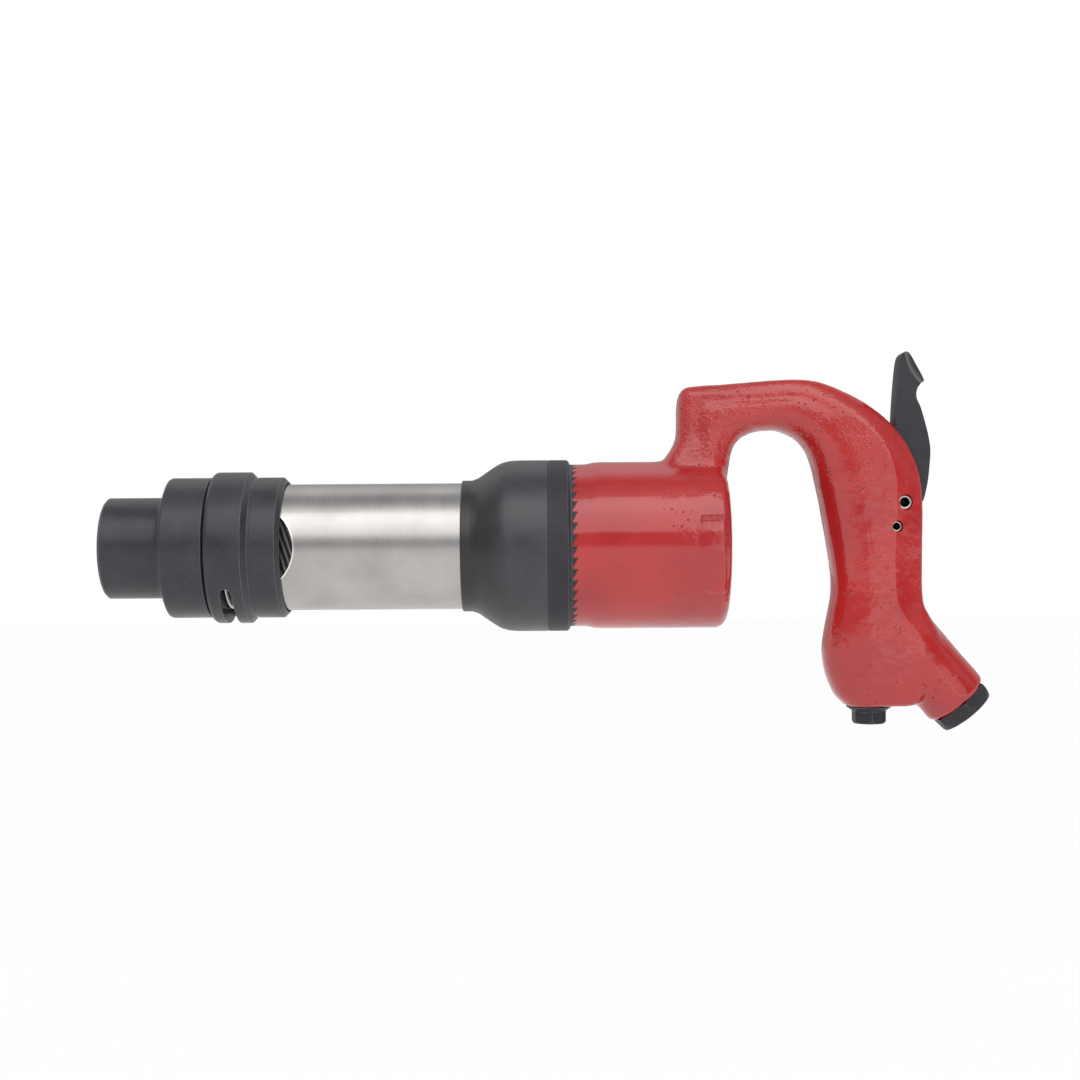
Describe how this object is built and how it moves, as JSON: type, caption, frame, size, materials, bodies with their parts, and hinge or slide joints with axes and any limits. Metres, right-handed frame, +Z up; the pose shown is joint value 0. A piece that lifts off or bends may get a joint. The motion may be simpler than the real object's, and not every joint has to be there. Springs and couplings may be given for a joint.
{
  "type": "pneumatic chipping hammer",
  "caption": "Open-handle pneumatic chipping hammer with an outside thumb lever, a turning chisel retainer, a toothed lock ring and a free piston in a steel barrel.",
  "frame": {"origin": "centre of the chisel bushing's mouth, on the barrel's axis", "axes": "+X back along the barrel towards the handle, +Z up towards the lever's thumb pad, +Y across the tool"},
  "size_m": [0.3772, 0.0732, 0.1626],
  "materials": {
    "red_enamel": "gloss red enamel over a rough casting",
    "black_phosphate": "satin black phosphate",
    "black_oxide": "satin black oxide on turned steel",
    "black_rubber": "satin moulded rubber",
    "rubber_seal": "matte",
    "satin_steel": "satin, ground round",
    "hardened_steel": "ground",
    "ground_steel": "fine ground",
    "spring_steel": "bright",
    "bronze": "machined"
  },
  "bodies": {
    "housing": {"handle_casting": "red_enamel", "lever_pivot_pin": "spring_steel", "bushing_roll_pin": "spring_steel", "throttle_bushing": "bronze", "throttle_spring": "spring_steel", "throttle_plug": "black_phosphate", "plug_gasket": "rubber_seal", "inlet_bushing": "black_phosphate", "inlet_screen": "ground_steel", "barrel": "satin_steel", "barrel_o_ring": "rubber_seal", "chisel_bushing": "hardened_steel", "valve_seat_block": "hardened_steel", "valve_cap_block": "hardened_steel", "valve_dowels": "ground_steel", "valve_gasket": "rubber_seal", "lock_spring": "spring_steel", "spring_washer": "ground_steel", "spring_snap_ring": "spring_steel", "retainer_collar": "black_oxide", "retainer_lock_wire": "spring_steel"},
    "lever": {"throttle_lever": "black_phosphate"},
    "throttle": {"throttle_valve": "ground_steel"},
    "striker": {"piston": "hardened_steel"},
    "shuttle": {"valve_shuttle": "ground_steel"},
    "lock": {"lock_ring": "black_phosphate", "exhaust_deflector": "black_rubber"},
    "retainer": {"retainer_nose": "black_oxide", "retainer_bumper": "rubber_seal", "detent_ball": "spring_steel", "detent_spring": "spring_steel"}
  },
  "joints": [
    {"name": "lever_pivot", "type": "hinge", "parent": "housing", "child": "lever", "pos_m": [0.2808, 0, 0.0173], "axis": [0, -1, 0], "range_deg": [0, 12], "stiffness_Nm_per_rad": 1.2, "springref_deg": -11.46},
    {"name": "throttle_slide", "type": "slide", "parent": "housing", "child": "throttle", "axis": [0, 0, -1], "range_m": [0, 0.0031], "deforming": ["throttle_spring"]},
    {"name": "piston_slide", "type": "slide", "parent": "housing", "child": "striker", "axis": [-1, 0, 0], "range_m": [0, 0.0752]},
    {"name": "valve_slide", "type": "slide", "parent": "housing", "child": "shuttle", "axis": [-1, 0, 0], "range_m": [0, 0.003]},
    {"name": "lock_ring_slide", "type": "slide", "parent": "housing", "child": "lock", "axis": [-1, 0, 0], "range_m": [0, 0.0034], "stiffness_N_per_m": 3000, "springref_m": -0.004, "deforming": ["lock_spring"]},
    {"name": "retainer_turn", "type": "hinge", "parent": "housing", "child": "retainer", "pos_m": [0, 0, 0], "axis": [1, 0, 0], "range_deg": [0, 90]}
  ],
  "couplings": [
    {"joint": "throttle_slide", "follows": "lever_pivot", "m_per_rad": 0.0142}
  ]
}
